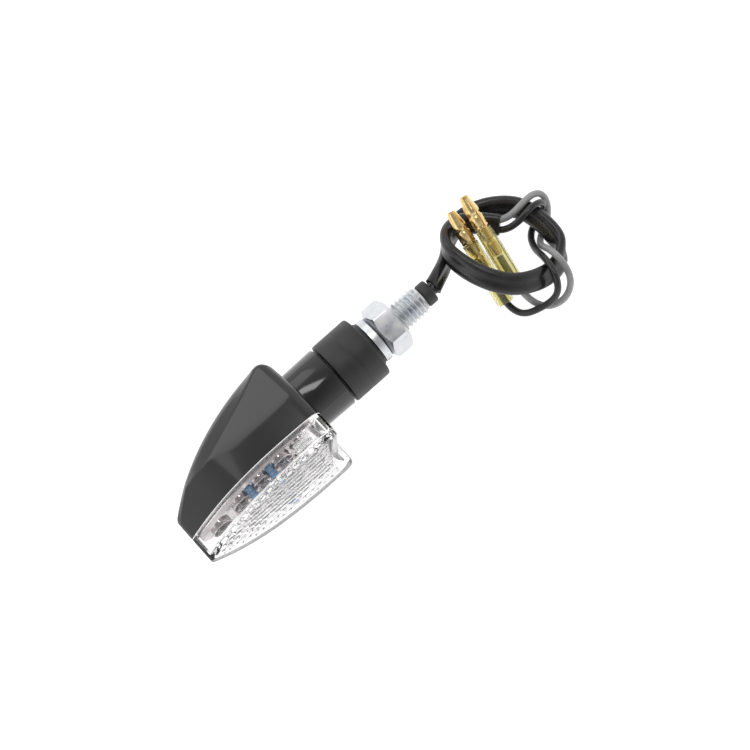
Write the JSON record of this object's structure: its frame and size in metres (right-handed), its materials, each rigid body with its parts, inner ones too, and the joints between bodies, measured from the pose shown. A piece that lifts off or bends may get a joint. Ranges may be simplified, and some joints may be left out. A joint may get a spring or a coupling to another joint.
{
  "type": "motorcycle turn signal indicator",
  "caption": "Arrow-shaped LED turn indicator for a motorcycle, with a clear lens, a rubber stalk, a hollow M8 bolt with its nut and lock washer, and a coiled lead with bullet connectors.",
  "frame": {"origin": "centre of the rubber collar's end face, where the bracket sits, on the bolt's axis", "axes": "+X along the bolt from the head to the lead; -X towards the arrow's tip; -Y out of the lens; +Z across the arrow, up"},
  "size_m": [0.1256, 0.0361, 0.0278],
  "materials": {
    "gloss_housing": "polished moulded black",
    "clear_lens": "clear acrylic, smooth outside and ribbed inside",
    "silvered_reflector": "vacuum silvered plastic",
    "board": "white solder mask",
    "led_epoxy": "clear epoxy",
    "blue_lacquer": "lacquered",
    "black_moulding": "moulded",
    "black_rubber": "matt moulded",
    "zinc": "bright zinc plate",
    "brass": "rolled brass",
    "clear_vinyl": "translucent yellowed vinyl",
    "black_vinyl": "glossy vinyl",
    "grey_vinyl": "matt vinyl"
  },
  "bodies": {
    "stalk": {"hollow_bolt": "zinc", "stalk_collar": "black_rubber", "end_grommet": "black_rubber", "core_black": "black_vinyl", "core_grey": "grey_vinyl", "cable_sleeve": "black_vinyl", "wire_black": "black_vinyl", "wire_grey": "grey_vinyl", "bullet_black": "brass", "bullet_grey": "brass", "insulator_black": "clear_vinyl", "insulator_grey": "clear_vinyl"},
    "head": {"housing": "gloss_housing", "lens": "clear_lens", "reflector": "silvered_reflector", "circuit_board": "board", "board_screw_1": "zinc", "board_screw_2": "zinc", "diode": "black_moulding", "resistor_1": "blue_lacquer", "resistor_2": "blue_lacquer", "resistor_3": "blue_lacquer", "led_01": "led_epoxy", "led_02": "led_epoxy", "led_03": "led_epoxy", "led_04": "led_epoxy", "led_05": "led_epoxy", "led_06": "led_epoxy", "led_07": "led_epoxy", "led_08": "led_epoxy", "led_09": "led_epoxy", "led_10": "led_epoxy", "led_11": "led_epoxy", "led_12": "led_epoxy"},
    "washer": {"lock_washer": "zinc"},
    "nut": {"hex_nut": "zinc"}
  },
  "joints": [
    {"name": "stalk_flex", "type": "hinge", "parent": "stalk", "child": "head", "pos_m": [-0.0055, 0, 0], "axis": [0, 0, 1], "range_deg": [-15, 15], "stiffness_Nm_per_rad": 0.5, "deforming": ["stalk_collar", "core_black", "core_grey"]},
    {"name": "washer_slide", "type": "slide", "parent": "stalk", "child": "washer", "axis": [1, 0, 0], "range_m": [0, 0.008]},
    {"name": "nut_turn", "type": "hinge", "parent": "washer", "child": "nut", "pos_m": [0, 0, 0], "axis": [1, 0, 0], "range_deg": [0, 2304]}
  ],
  "couplings": [
    {"joint": "washer_slide", "follows": "nut_turn", "m_per_rad": 0.00019894}
  ]
}
